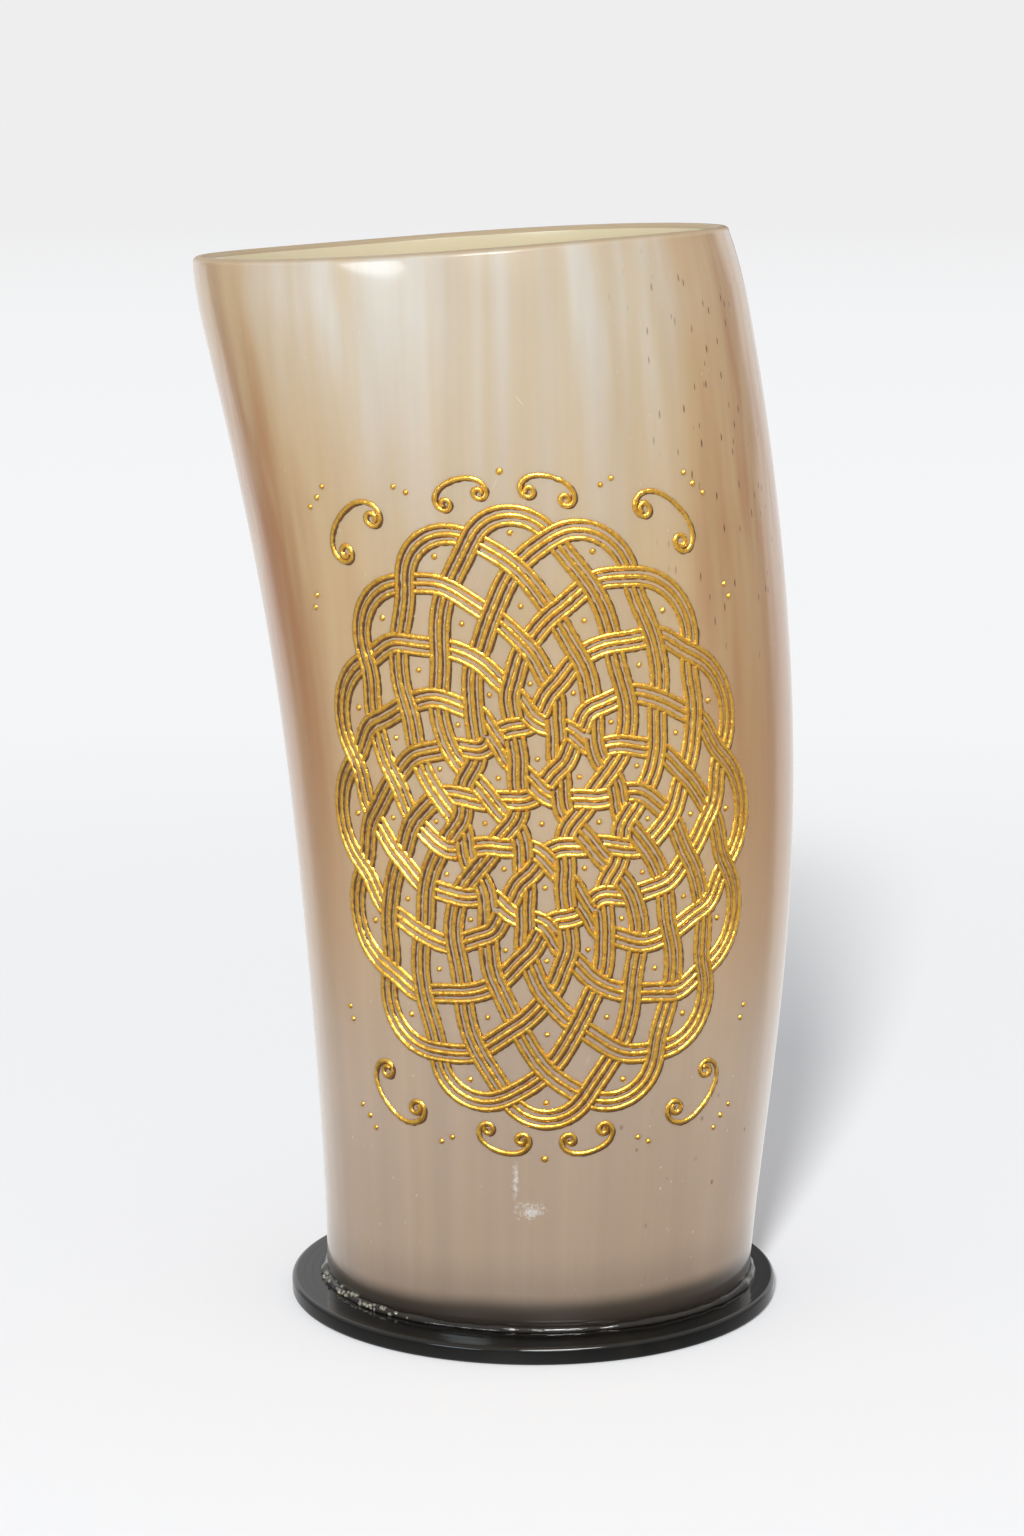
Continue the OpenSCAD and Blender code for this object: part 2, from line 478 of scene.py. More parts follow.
def add_plug_shade(tree, tone, place, side, height):
    """Lets the black plug show through the foot of the wall as a dark band under a softer
    shade. The edge of the band wanders by 1 mm with the thickness of the wall, and it reaches
    2 mm higher at one side than at the other."""
    uneven = add_node(tree, "ShaderNodeTexNoise", {
        "Vector": place, "Scale": 1 / (28 * MM), "Detail": 1})
    band = add_node(tree, "ShaderNodeMath", {0: uneven, 1: 2.4 * MM, 2: height},
                    operation="MULTIPLY_ADD")
    band = add_node(tree, "ShaderNodeMath", {0: side, 1: -0.03, 2: band},
                    operation="MULTIPLY_ADD")
    # Each row gives the heights in mm where a shade starts and is full, its strength, and its
    # colours at the bottom and at the top of the plug
    for start, end, most, low, high in (
            (16.5, 8.5, 0.20, "3A3027", "3A3027"), (9.5, 6.6, 0.95, "15120E", "57493A")):
        through = add_node(tree, "ShaderNodeMapRange", {
            "Value": band, "From Min": start * MM, "From Max": end * MM, "To Max": most},
            interpolation_type="SMOOTHSTEP")
        shade = add_node(tree, "ShaderNodeMapRange", {
            "Value": height, "From Min": 2.6 * MM, "From Max": 7.6 * MM})
        shade = add_node(tree, "ShaderNodeMix", {
            "Factor": shade, "A": linear(low), "B": linear(high)}, data_type="RGBA")
        tone = add_node(tree, "ShaderNodeMix", {"Factor": through, "A": tone, "B": shade},
                        data_type="RGBA")
    return tone


def polished_horn(horn):
    """Cattle horn, scraped, sanded and buffed. It was laid down in thin layers round the
    animal's core, so it shows soft streaks along its growth and fine cracks that dirt has
    darkened, and it lets enough light through for the black plug to show as a dark band."""
    material, tree = new_material("buffed_cattle_horn")
    grain = add_node(tree, "ShaderNodeAttribute", attribute_name="grain").outputs["Vector"]
    inner = add_node(tree, "ShaderNodeAttribute", attribute_name="inner").outputs["Fac"]
    place = add_node(tree, "ShaderNodeAttribute", attribute_name="round_horn").outputs["Vector"]
    parts = add_node(tree, "ShaderNodeSeparateXYZ", {0: place})
    side, height = parts.outputs["X"], parts.outputs["Z"]
    tone = horn_colour(tree, horn, grain, side, height)
    tone = add_marks(tree, tone, grain, side, height)
    tone = add_scuff(tree, tone, place)

    # Inside, where the light comes through the wall, the horn is paler and yellower
    tone = add_node(tree, "ShaderNodeMix", {"Factor": inner, "A": tone, "B": linear("F8EBCB")},
                    data_type="RGBA")

    # The cut lip is browner
    lip = add_node(tree, "ShaderNodeMapRange", {
        "Value": inner, "From Min": 0.04, "From Max": 0.30, "To Max": 0.6},
        interpolation_type="SMOOTHSTEP")
    open_lip = add_node(tree, "ShaderNodeMath", {0: inner, 1: 0.95}, operation="LESS_THAN")
    lip = add_node(tree, "ShaderNodeMath", {0: lip, 1: open_lip}, operation="MULTIPLY")
    tone = add_node(tree, "ShaderNodeMix", {"Factor": lip, "A": tone, "B": linear("A98A60")},
                    data_type="RGBA")
    tone = add_plug_shade(tree, tone, place, side, height)

    # Buffed unevenly, in strokes 1.5 mm wide along the growth. The roughness stays above 0.27,
    # because below that the denoiser draws dark hairlines near the foot.
    strokes = streaks(tree, grain, 1.5, 40, {"Detail": 1})
    rough = add_node(tree, "ShaderNodeMapRange", {
        "Value": strokes, "From Min": 0.3, "From Max": 0.7, "To Min": 0.28, "To Max": 0.35})
    # The cut lip is left matt
    rough = add_node(tree, "ShaderNodeMath", {0: lip, 1: 0.4, 2: rough},
                     operation="MULTIPLY_ADD")
    buffed = add_node(tree, "ShaderNodeMapRange", {
        "Value": lip, "From Max": 0.7, "To Min": 0.85, "To Max": 0.05})
    # Low waves 3 mm apart
    waves = add_node(tree, "ShaderNodeTexNoise", {
        "Vector": place, "Scale": 1 / (3 * MM), "Detail": 1})
    relief = add_node(tree, "ShaderNodeBump", {"Distance": 0.01 * MM, "Height": waves})
    surface = add_node(tree, "ShaderNodeBsdfPrincipled", {
        "Base Color": tone, "Roughness": rough, "IOR": 1.54, "Normal": relief,
        "Subsurface Weight": 0.4, "Subsurface Scale": 2.5 * MM,
        "Subsurface Radius": (1.0, 0.7, 0.45),
        "Coat Weight": buffed, "Coat Roughness": 0.11})
    add_node(tree, "ShaderNodeOutputMaterial", {"Surface": surface})
    return material


def black_horn(horn, name="polished_black_horn", scale=1.0):
    """Black buffalo horn, turned and polished: near black, glossy, with brown clouds and
    fine turning lines."""
    material, tree = new_material(name)
    spot = add_node(tree, "ShaderNodeTexCoord").outputs["Object"]
    clouds = add_node(tree, "ShaderNodeTexNoise", {
        "Vector": spot, "Scale": 1 / (6 * MM * scale), "Detail": 4})
    clouds = add_node(tree, "ShaderNodeMapRange", {
        "Value": clouds, "From Min": 0.45, "From Max": 0.75})
    tone = add_node(tree, "ShaderNodeMix", {
        "Factor": clouds, "A": horn.black, "B": linear("14110D")}, data_type="RGBA")
    # Turning lines 1.2 mm apart. At a scale of 1 this node draws 20 radians to the metre.
    lines = add_node(tree, "ShaderNodeTexWave", {
        "Vector": spot, "Scale": math.tau / 20 / (1.184 * MM), "Distortion": 0.6},
        wave_type="RINGS", rings_direction="Z")
    rough = add_node(tree, "ShaderNodeMapRange", {
        "Value": clouds, "To Min": 0.06, "To Max": 0.12})
    relief = add_node(tree, "ShaderNodeBump", {"Distance": 0.004 * MM, "Height": lines})
    surface = add_node(tree, "ShaderNodeBsdfPrincipled", {
        "Base Color": tone, "Roughness": rough, "IOR": 1.54, "Normal": relief,
        "Specular IOR Level": 0.45})
    add_node(tree, "ShaderNodeOutputMaterial", {"Surface": surface})
    return material


def clear_glue():
    """Epoxy glue, poured and left to set: clear with a brown tint, glossy and a little
    lumpy, so it looks dark over the black foot and throws back small glints."""
    material, tree = new_material("set_epoxy_glue")
    spot = add_node(tree, "ShaderNodeTexCoord").outputs["Object"]
    lumps = add_node(tree, "ShaderNodeTexNoise", {"Vector": spot, "Scale": 1 / (1.2 * MM)})
    tone = add_node(tree, "ShaderNodeMix", {
        "Factor": lumps, "A": linear("2C251C"), "B": linear("51463A")}, data_type="RGBA")
    # The air bubbles are painted pale: trapped air, and partly a painted glint on each bubble
    air = add_node(tree, "ShaderNodeAttribute", attribute_name="air").outputs["Fac"]
    tone = add_node(tree, "ShaderNodeMix", {"Factor": air, "A": tone, "B": linear("E6E2CE")},
                    data_type="RGBA")
    rough = add_node(tree, "ShaderNodeMapRange", {
        "Value": lumps, "To Min": 0.03, "To Max": 0.10})
    relief = add_node(tree, "ShaderNodeBump", {"Distance": 0.08 * MM, "Height": lumps})
    surface = add_node(tree, "ShaderNodeBsdfPrincipled", {
        "Base Color": tone, "Roughness": rough, "IOR": 1.5, "Normal": relief,
        "Transmission Weight": 0.8})
    add_node(tree, "ShaderNodeOutputMaterial", {"Surface": surface})
    return material


def gilt(gilding):
    """Gold leaf pressed on to raised varnish lines, under a thin clear coat: bright metal
    with a slightly rough, broken skin, darker where the leaf is thin, and white glints."""
    material, tree = new_material("gold_leaf")
    spot = add_node(tree, "ShaderNodeTexCoord").outputs["Object"]
    uneven = add_node(tree, "ShaderNodeTexNoise", {
        "Vector": spot, "Scale": 1 / (0.5 * MM), "Detail": 3, "Roughness": 0.6})
    thin = add_node(tree, "ShaderNodeMapRange", {
        "Value": uneven, "From Min": 0.45, "From Max": 0.70})
    tone = add_node(tree, "ShaderNodeMix", {
        "Factor": thin, "A": gilding.gold, "B": gilding.old_gold}, data_type="RGBA")
    rough = add_node(tree, "ShaderNodeMapRange", {
        "Value": uneven, "From Min": 0.3, "From Max": 0.7, "To Min": 0.20, "To Max": 0.44})
    relief = add_node(tree, "ShaderNodeBump", {
        "Distance": 0.09 * MM, "Height": uneven})
    surface = add_node(tree, "ShaderNodeBsdfPrincipled", {
        "Base Color": tone, "Metallic": 1.0, "Roughness": rough, "Normal": relief,
        "Coat Weight": 0.6, "Coat Roughness": 0.12})
    add_node(tree, "ShaderNodeOutputMaterial", {"Surface": surface})
    return material


def size_and_shadow(gilding):
    """Brown oil varnish under the leaf: it shows as a dark, satin edge beside each line, and that
    edge, below the line and to its right, is also a painted shadow.
    """
    material, tree = new_material("brown_size_and_shadow")
    spot = add_node(tree, "ShaderNodeTexCoord").outputs["Object"]
    patches = add_node(tree, "ShaderNodeTexNoise", {"Vector": spot, "Scale": 1 / (0.8 * MM)})
    tone = add_node(tree, "ShaderNodeMix", {
        "Factor": patches, "A": gilding.size, "B": linear("7A4E1E")}, data_type="RGBA")
    surface = add_node(tree, "ShaderNodeBsdfPrincipled", {
        "Base Color": tone, "Roughness": 0.35, "IOR": 1.48})
    add_node(tree, "ShaderNodeOutputMaterial", {"Surface": surface})
    return material


# The white paper as reflections see it: a wedge behind the cup, by its two edges' slopes
WEDGE_LEFT, WEDGE_RIGHT = 0.78, 0.95


def wedge(tree, vector, wider=0.0, spread=1.0):
    """1 where the vector points into the white wedge behind the cup, 0 elsewhere. The wedge is
    made wider on both sides by a length, and its slopes are multiplied by spread."""
    way = add_node(tree, "ShaderNodeSeparateXYZ", {0: vector})
    x, y = way.outputs["X"], way.outputs["Y"]
    left = add_node(tree, "ShaderNodeMath", {0: y, 1: spread * WEDGE_LEFT, 2: x},
                    operation="MULTIPLY_ADD")
    away = add_node(tree, "ShaderNodeMath", {0: x, 1: -1.0}, operation="MULTIPLY")
    right = add_node(tree, "ShaderNodeMath", {0: y, 1: spread * WEDGE_RIGHT, 2: away},
                     operation="MULTIPLY_ADD")
    inside = add_node(tree, "ShaderNodeMath", {0: left, 1: right}, operation="MINIMUM")
    inside = add_node(tree, "ShaderNodeMath", {0: inside, 1: wider}, operation="ADD")
    return add_node(tree, "ShaderNodeMapRange", {
        "Value": inside, "From Min": -0.02, "From Max": 0.06},
        interpolation_type="SMOOTHSTEP")


def studio_paper(stage):
    """Matt white paper. It is lit near the cup and keeps its shadow, and further off it
    passes into the even tone of the backdrop. Distances are in metres from the cup."""
    material, tree = new_material("matt_white_paper")
    spot = add_node(tree, "ShaderNodeTexCoord").outputs["Object"]
    distance = add_node(tree, "ShaderNodeVectorMath", {0: spot}, operation="LENGTH")
    distance = distance.outputs["Value"]
    fibres = add_node(tree, "ShaderNodeTexNoise", {"Vector": spot, "Scale": 1 / (4 * MM)})
    relief = add_node(tree, "ShaderNodeBump", {"Distance": 0.02 * MM, "Height": fibres})
    lit = add_node(tree, "ShaderNodeBsdfDiffuse", {"Color": stage.paper, "Normal": relief})
    fade = add_node(tree, "ShaderNodeMapRange", {
        "Value": distance, "From Min": 1.2, "From Max": 5.0})
    tone = add_node(tree, "ShaderNodeMix", {
        "Factor": fade, "A": linear("F5F6F7"), "B": stage.far_paper}, data_type="RGBA")
    glow = add_node(tree, "ShaderNodeEmission", {"Color": tone})
    far = add_node(tree, "ShaderNodeMapRange", {
        "Value": distance, "From Min": 0.10, "From Max": 0.50})
    # The camera sees the near paper a little brighter than it is lit
    camera = add_node(tree, "ShaderNodeLightPath").outputs["Is Camera Ray"]
    lift = add_node(tree, "ShaderNodeMath", {0: camera, 1: 0.12}, operation="MULTIPLY")
    far = add_node(tree, "ShaderNodeMath", {0: far, 1: lift}, operation="MAXIMUM")
    seen = add_node(tree, "ShaderNodeMixShader", {0: far, 1: lit, 2: glow})
    # Under the cup's own edge the paper that it mirrors is in shade
    shaded = add_node(tree, "ShaderNodeMapRange", {
        "Value": distance, "From Min": 0.045, "From Max": 0.14, "To Min": 0.10,
        "To Max": 0.62}, interpolation_type="SMOOTHSTEP")
    # Behind the cup, away from the white wedge, the paper's painted reflection is half as bright
    behind = add_node(tree, "ShaderNodeMapRange", {
        "Value": add_node(tree, "ShaderNodeSeparateXYZ", {0: spot}).outputs["Y"],
        "From Max": 0.1, "To Min": 1.0, "To Max": 0.5})
    shaded = add_node(tree, "ShaderNodeMath", {0: shaded, 1: behind}, operation="MULTIPLY")
    mirrored = add_node(tree, "ShaderNodeMix", {
        "Factor": wedge(tree, spot, 0.065, 1.25), "A": shaded, "B": grey(0.95)},
        data_type="RGBA")
    mirrored = add_node(tree, "ShaderNodeEmission", {"Color": mirrored})
    glossy = add_node(tree, "ShaderNodeLightPath").outputs["Is Glossy Ray"]
    surface = add_node(tree, "ShaderNodeMixShader", {0: glossy, 1: seen, 2: mirrored})
    add_node(tree, "ShaderNodeOutputMaterial", {"Surface": surface})
    return material


def room_light(stage):
    """Even light from all round; the backdrop's tone for the camera, and for reflections
    the white wedge behind the cup in a greyer room."""
    world = bpy.data.worlds.new("room")
    world.use_nodes = True
    tree = world.node_tree
    tree.nodes.clear()
    path = add_node(tree, "ShaderNodeLightPath")
    way = add_node(tree, "ShaderNodeTexCoord").outputs["Generated"]
    even = add_node(tree, "ShaderNodeBackground", {
        "Color": linear("FAFBFF"), "Strength": stage.world})
    rise = add_node(tree, "ShaderNodeSeparateXYZ", {0: way}).outputs["Z"]
    rise = add_node(tree, "ShaderNodeMapRange", {
        "Value": rise, "From Min": 0.15, "From Max": 0.5, "To Min": 0.36, "To Max": 0.75})
    across = add_node(tree, "ShaderNodeSeparateXYZ", {0: way}).outputs["X"]
    # For reflections the backdrop is white to both sides and darker behind the cup to the right: a
    # painted shadow of the cup on the backdrop
    bright = add_node(tree, "ShaderNodeValToRGB", {
        0: add_node(tree, "ShaderNodeMapRange", {
            "Value": across, "From Min": -0.5, "From Max": 0.5})}, stops=(
        (0.38, grey(0.95)), (0.43, grey(0.62)), (0.56, grey(0.20)), (0.62, grey(0.20)),
        (0.78, grey(0.95))))
    mirrored = add_node(tree, "ShaderNodeMix", {
        "Factor": wedge(tree, way), "A": rise, "B": bright}, data_type="RGBA")
    mirrored = add_node(tree, "ShaderNodeBackground", {"Color": mirrored})
    seen = add_node(tree, "ShaderNodeBackground", {"Color": stage.far_paper})
    mixed = add_node(tree, "ShaderNodeMixShader", {
        0: path.outputs["Is Glossy Ray"], 1: even, 2: mirrored})
    mixed = add_node(tree, "ShaderNodeMixShader", {
        0: path.outputs["Is Camera Ray"], 1: mixed, 2: seen})
    add_node(tree, "ShaderNodeOutputWorld", {"Surface": mixed})
    return world


class HORNCUP_OT_horn(bpy.types.Operator):
    """Make the horn: one bent, oval tube with a rounded lip."""

    bl_idname = "horncup.horn"
    bl_label = "Horn"

    def execute(self, context):
        horn = context.scene.horn_cup.horn
        shape = HornShape(horn)
        sides, rings, lip_steps = 192, 96, 10
        # The lip is a little flatter than round, to stay inside the CAD's coarser lip
        lip_rise = 0.94 * shape.lip_r
        # The streaks stay nearly upright: this share of the bend is taken out of the grain
        upright = 0.9
        around = turns(sides)
        rows = []
        for r in range(rings + 1):
            up = shape.lip_share * r / rings
            # The hollows fade out over the top quarter
            fade = min(1, 4 * (1 - up / shape.lip_share))
            rows.append((up, 0.0, [
                shape.point(a, up, shape.outside(up) + fade * shape.hollow(a, up))
                for a in around]))
        for s in range(1, lip_steps):
            turn = math.pi * s / lip_steps
            inset = horn.lip_ease + shape.lip_r * (1 - math.cos(turn))
            rows.append((shape.lip_share, s / lip_steps, [
                shape.point(a, shape.lip_share, inset, lip_rise * math.sin(turn))
                for a in around]))
        for r in range(rings, -1, -1):
            up = shape.lip_share * r / rings
            rows.append((up, 1.0, [shape.point(a, up, shape.inside(up)) for a in around]))
        bm = bmesh.new()
        grain = bm.verts.layers.float_vector.new("grain")
        round_horn = bm.verts.layers.float_vector.new("round_horn")
        inner = bm.verts.layers.float.new("inner")
        made = skin(bm, [points for _, _, points in rows])
        for (up, within, _), row in zip(rows, made):
            drift = upright * (shape.ring(up)[0].x - horn.seat_x)
            for a, vert in zip(around, row):
                x, y = GRAIN_R * math.cos(a), GRAIN_R * math.sin(a)
                vert[grain] = (x + drift, y, vert.co.z)
                vert[round_horn] = (x, y, vert.co.z)
                vert[inner] = within
        add_piece("horn_body", bm, polished_horn(horn), ["horn_wall"])
        return {"FINISHED"}


class HORNCUP_OT_foot(bpy.types.Operator):
    """Make the turned foot disc and finish the plug."""

    bl_idname = "horncup.foot"
    bl_label = "Foot disc and plug"

    def execute(self, context):
        horn = context.scene.horn_cup.horn
        # A ring of faces beside each rounded edge keeps the flat faces' shading flat
        flat_r = DISC_R - 1.5 * horn.disc_round
        profile = [(0, 0), (flat_r, 0), (DISC_R, 0), (DISC_R, DISC_H), (flat_r, DISC_H),
                   (0, DISC_H)]
        bm = bmesh.new()
        verts = [bm.verts.new((x, 0, z)) for x, z in profile]
        edges = [bm.edges.new(pair) for pair in zip(verts, verts[1:])]
        bmesh.ops.spin(bm, geom=verts + edges, cent=(0, 0, 0), axis=(0, 0, 1),
                       angle=math.tau, steps=256, use_merge=True)
        bmesh.ops.remove_doubles(bm, verts=bm.verts, dist=0.001 * MM)
        near = 0.01 * MM
        rims = [edge for edge in bm.edges
                if all(abs(vert.co.xy.length - DISC_R) < near for vert in edge.verts)
                and abs(edge.verts[0].co.z - edge.verts[1].co.z) < near]
        bmesh.ops.bevel(bm, geom=rims, offset=horn.disc_round, segments=6, profile=0.5,
                        affect="EDGES", material=-1)
        bmesh.ops.recalc_face_normals(bm, faces=bm.faces)
        add_piece("black_foot_disc", bm, black_horn(horn), ["foot_disc"])
        sawn = black_horn(horn, "sawn_black_horn", 0.5)
        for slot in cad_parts["foot_plug"].material_slots:
            slot.material = sawn
        return {"FINISHED"}


class HORNCUP_OT_glue(bpy.types.Operator):
    """Make the two beads of set glue, with the bubbles in the outer one."""

    bl_idname = "horncup.glue"
    bl_label = "Glue beads"

    def execute(self, context):
        horn = context.scene.horn_cup.horn
        shape = HornShape(horn)
        around = turns(256)
        steps = 8
        # How far a bead reaches into the wall, so that no gap shows
        bury = 0.15 * MM

        def bead(size, base, outward, seed):
            """Rings of a quarter round with lumps about 3.5 mm apart, out from the wall or in
            from it."""
            sizes = [size * (0.80 + 0.35 * noise.noise(
                Vector((9 * math.cos(a), 9 * math.sin(a), seed)))) for a in around]
            rings = [[(bury, 0.0)] * len(around)]
            for s in range(steps + 1):
                turn = math.pi / 2 * s / steps
                rings.append([(-w * math.cos(turn), w * math.sin(turn)) for w in sizes])
            rings.append([(bury, w) for w in sizes])
            placed = []
            for ring in rings:
                placed.append([])
                for a, (away, rise) in zip(around, ring):
                    up = base + rise / horn.height
                    wall = 0.0 if outward else shape.inside(up)
                    placed[-1].append(shape.point(a, up, wall + (away if outward else -away)))
            return placed

        glue = clear_glue()
        bm = bmesh.new()
        air = bm.verts.layers.float.new("air")
        skin(bm, bead(horn.outer_bead, 0.0, True, 1.0))
        # Bubbles just under the bead's skin, most of them at the front left
        bubbles, bubbles_at, scatter = 44, 215, 12
        under_skin = 0.85 * MM
        chance = random.Random(7)
        for _ in range(bubbles):
            a = math.radians(chance.gauss(bubbles_at, scatter))
            rise = chance.uniform(0.2, 0.9) * MM
            away = math.sqrt(max(0, under_skin ** 2 - rise ** 2))
            made = bmesh.ops.create_icosphere(
                bm, subdivisions=2, radius=chance.uniform(0.12, 0.42) * MM)["verts"]
            spot = shape.point(a, rise / horn.height, -away)
            bmesh.ops.translate(bm, verts=made, vec=spot)
            for vert in made:
                vert[air] = 1.0
        add_piece("outer_bead_of_glue", bm, glue, ["outer_glue_bead"])
        bm = bmesh.new()
        skin(bm, bead(horn.inner_bead, shape.plug_share, False, 5.0))
        add_piece("inner_bead_of_glue", bm, glue, ["inner_seal_bead"])
        return {"FINISHED"}


def oval_net(rings):
    """Nodes and edges of a net round a middle node; each ring is a count and half sizes."""
    nodes, edges, inner = [0j], set(), [0]
    for count, half_w, half_h in rings:
        ring = list(range(len(nodes), len(nodes) + count))
        for i, turn in enumerate(turns(count)):
            nodes.append(complex(-half_w * math.sin(turn), half_h * math.cos(turn)))
            edges.add((ring[i], ring[(i + 1) % count]))
            spoke = i * len(inner) / count
            for j in (math.floor(spoke), math.ceil(spoke)):
                edges.add((inner[j % len(inner)], ring[i]))
        inner = ring
    return nodes, sorted(edges)


def cubic(start, a, b, end, step):
    """Points along a cubic curve, without its end."""
    reach = (abs(a - start) + abs(b - a) + abs(end - b) + abs(end - start)) / 2
    count = max(4, round(reach / step))
    shares = [k / count for k in range(count)]
    return [(1 - s) ** 3 * start + 3 * (1 - s) ** 2 * s * a + 3 * (1 - s) * s * s * b
            + s ** 3 * end for s in shares]


# Rounds of evening out that take the kinks from a plaited strand
SMOOTHING = 20


def plait(nodes, edges, step):
    """Closed strands that cross at the middle of every edge of the net and turn round its
    nodes. Each comes with its crossings: where along it, on which edge, and if it is on top."""
    near = {i: [] for i in range(len(nodes))}
    for i, j in edges:
        near[i].append(j)
        near[j].append(i)
    for i, ways in near.items():
        ways.sort(key=lambda j: cmath.phase(nodes[j] - nodes[i]))
    done, strands = set(), []
    for i, ways in near.items():
        for j in ways:
            points, crossings, here, there, hand = [], [], i, j, 1
            while (here, there, hand) not in done:
                next_ways = near[here]
                leave = next_ways[(next_ways.index(there) + hand) % len(next_ways)]
                done |= {(here, there, hand), (here, leave, -hand)}
                crossings.append((len(points), frozenset((here, there)), hand < 0))
                u, v = nodes[there] - nodes[here], nodes[leave] - nodes[here]
                start, end = nodes[here] + u / 2, nodes[here] + v / 2
                bend = (cmath.phase(v / u) * hand) % math.tau - math.pi / 2
                handle = abs(end - start) / 3
                if abs(bend) > 0.001:
                    handle *= 2 * math.tan(bend / 4) / math.sin(bend / 2)
                out = u / abs(u) * complex(-1, hand) / math.sqrt(2)
                back = v / abs(v) * complex(1, hand) / math.sqrt(2)
                points += cubic(start, start + handle * out, end - handle * back, end, step)
                here, there, hand = leave, here, -hand
            for _ in range(SMOOTHING if points else 0):
                points = [(points[k - 1] + 2 * points[k] + points[(k + 1) % len(points)]) / 4
                          for k in range(len(points))]
            if points:
                strands.append((points, crossings))
    return strands


def ribbon_lines(strands, width, step):
    """Lines along both edges and the middle of each ribbon, hidden where it passes under."""
    top = {edge: (points, at) for points, crossings in strands
           for at, edge, above in crossings if above}
    # Points on either side of a crossing that the upper ribbon may hide
    reach = math.ceil(2.1 * width / step)
    lines = []
    for points, crossings in strands:
        count = len(points)
        across = [1j * (points[(k + 1) % count] - points[k - 1]) for k in range(count)]
        for side in (-0.5, 0, 0.5):
            line = [p + n / abs(n) * side * width for p, n in zip(points, across)]
            hidden = set()
            for at, edge, above in crossings:
                if above:
                    continue
                over, where = top[edge]
                cover = [over[(where + k) % len(over)] for k in range(-reach, reach + 1)]
                for k in range(at - reach, at + reach + 1):
                    if min(abs(line[k % count] - c) for c in cover) < width / 2:
                        hidden.add(k % count)
            run = []
            first = min(hidden)
            for k in range(first, first + count + 1):
                if k % count not in hidden:
                    run.append(line[k % count])
                elif run:
                    lines.append(run)
                    run = []
    return [line for line in lines if len(line) > 2]


def c_scroll(middle, heading, half, bend, curl, step):
    """A C-shaped scroll from its middle, bent more and more towards its two ends."""
    quickening = 1.7
    arms = []
    for way in (1, -1):
        point, turn, arm = middle, heading + (0 if way > 0 else math.pi), []
        count = round(half / step)
        for k in range(count):
            turn += way * step * (bend + (curl - bend) * ((k + 0.5) / count) ** quickening)
            point += cmath.rect(step, turn)
            arm.append(point)
        arms.append(arm)
    return arms[1][::-1] + [middle] + arms[0]


def scroll_paths(step):
    """Scrolls above and below the plaited oval, each with its mirror images."""
    paths = []
    # Each row gives a scroll's middle in mm, its heading in degrees, half its length in mm,
    # and its bend at the middle and at its ends in radians per mm
    for middle, heading, half, bend, curl in (
            (24.8 + 43.2j, -43, 15, -0.07, -1.55), (6.6 + 48.2j, -16, 10, -0.10, -2.0)):
        scroll = c_scroll(middle * MM, math.radians(heading), half * MM, bend / MM, curl / MM,
                          step)
        for across in (1, -1):
            for upward in (1, -1):
                paths.append([complex(across * p.real, upward * p.imag) for p in scroll])
    return paths


def pellet_places(nodes, outer):
    """Pellets and their radii in mm: on the nodes of the net, those of its last ring drawn in
    a little, and round the plaited oval, with their mirror images."""
    pellets = [(node, 0.42) for node in nodes[:outer]]
    pellets += [(node * 0.98, 0.50) for node in nodes[outer:]]
    for place, radius in ((49.2j, 0.6), (13.6 + 46.6j, 0.45), (15.3 + 47.4j, 0.45),
                          (28.6 + 45.6j, 0.5), (30.3 + 44.2j, 0.42), (27.2 + 47.2j, 0.42),
                          (32.2 + 31.4j, 0.45), (32.9 + 29.6j, 0.45)):
        pellets += [(complex(x, y) * MM, radius) for x in {place.real, -place.real}
                    for y in {place.imag, -place.imag}]
    return pellets


